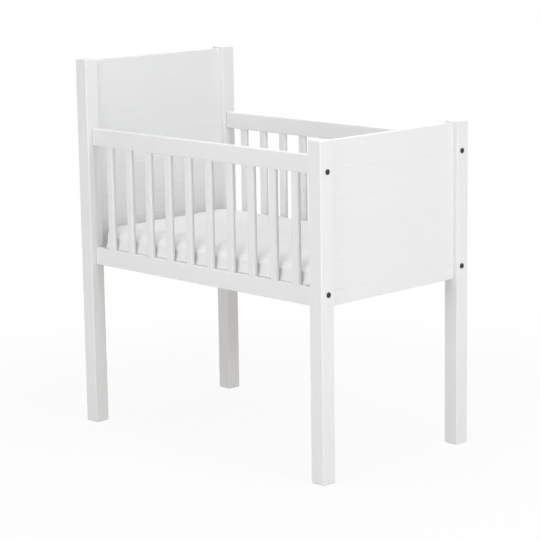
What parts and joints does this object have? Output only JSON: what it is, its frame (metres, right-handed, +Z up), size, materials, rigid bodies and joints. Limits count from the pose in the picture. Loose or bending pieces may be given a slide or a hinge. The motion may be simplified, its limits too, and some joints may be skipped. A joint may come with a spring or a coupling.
{
  "type": "bedside sleeper crib",
  "caption": "White wooden bedside crib on tall square legs, with a high grooved headboard, a lower footboard, barred sides and a loose soft mattress.",
  "frame": {"origin": "on the floor, under the middle of the crib", "axes": "+X from the head to the foot along the crib, +Y from the near long side to the far one, +Z up"},
  "size_m": [0.974, 0.575, 1.06],
  "materials": {
    "white_lacquer": "satin white lacquer over solid wood and board",
    "bare_wood": "planed, unpainted softwood and beech",
    "zinc_steel": "bright zinc plate",
    "black_steel": "black, half-gloss",
    "mattress_knit": "fine white cotton jersey",
    "mattress_foam": "cut foam"
  },
  "bodies": {
    "crib": {"base_slat_1": "bare_wood", "base_slat_2": "bare_wood", "base_slat_3": "bare_wood", "base_slat_4": "bare_wood", "base_slat_5": "bare_wood", "base_slat_6": "bare_wood", "base_slat_7": "bare_wood", "base_slat_8": "bare_wood", "base_slat_screws": "zinc_steel", "batten_screws": "zinc_steel", "far_bar_1": "white_lacquer", "far_bar_10": "white_lacquer", "far_bar_2": "white_lacquer", "far_bar_3": "white_lacquer", "far_bar_4": "white_lacquer", "far_bar_5": "white_lacquer", "far_bar_6": "white_lacquer", "far_bar_7": "white_lacquer", "far_bar_8": "white_lacquer", "far_bar_9": "white_lacquer", "far_base_batten": "bare_wood", "far_bottom_rail": "white_lacquer", "far_top_rail": "white_lacquer", "foot_barrel_nuts": "zinc_steel", "foot_bolts": "black_steel", "foot_dowels": "bare_wood", "foot_panel": "white_lacquer", "foot_post_far": "white_lacquer", "foot_post_near": "white_lacquer", "head_barrel_nuts": "zinc_steel", "head_bolts": "black_steel", "head_dowels": "bare_wood", "head_panel": "white_lacquer", "head_post_far": "white_lacquer", "head_post_near": "white_lacquer", "near_bar_1": "white_lacquer", "near_bar_10": "white_lacquer", "near_bar_2": "white_lacquer", "near_bar_3": "white_lacquer", "near_bar_4": "white_lacquer", "near_bar_5": "white_lacquer", "near_bar_6": "white_lacquer", "near_bar_7": "white_lacquer", "near_bar_8": "white_lacquer", "near_bar_9": "white_lacquer", "near_base_batten": "bare_wood", "near_bottom_rail": "white_lacquer", "near_top_rail": "white_lacquer"},
    "mattress": {"mattress_core": "mattress_foam", "mattress_cover": "mattress_knit"}
  },
  "joints": [
    {"name": "mattress_lift", "type": "slide", "parent": "crib", "child": "mattress", "axis": [0, 0, 1], "range_m": [0, 0.4]}
  ]
}
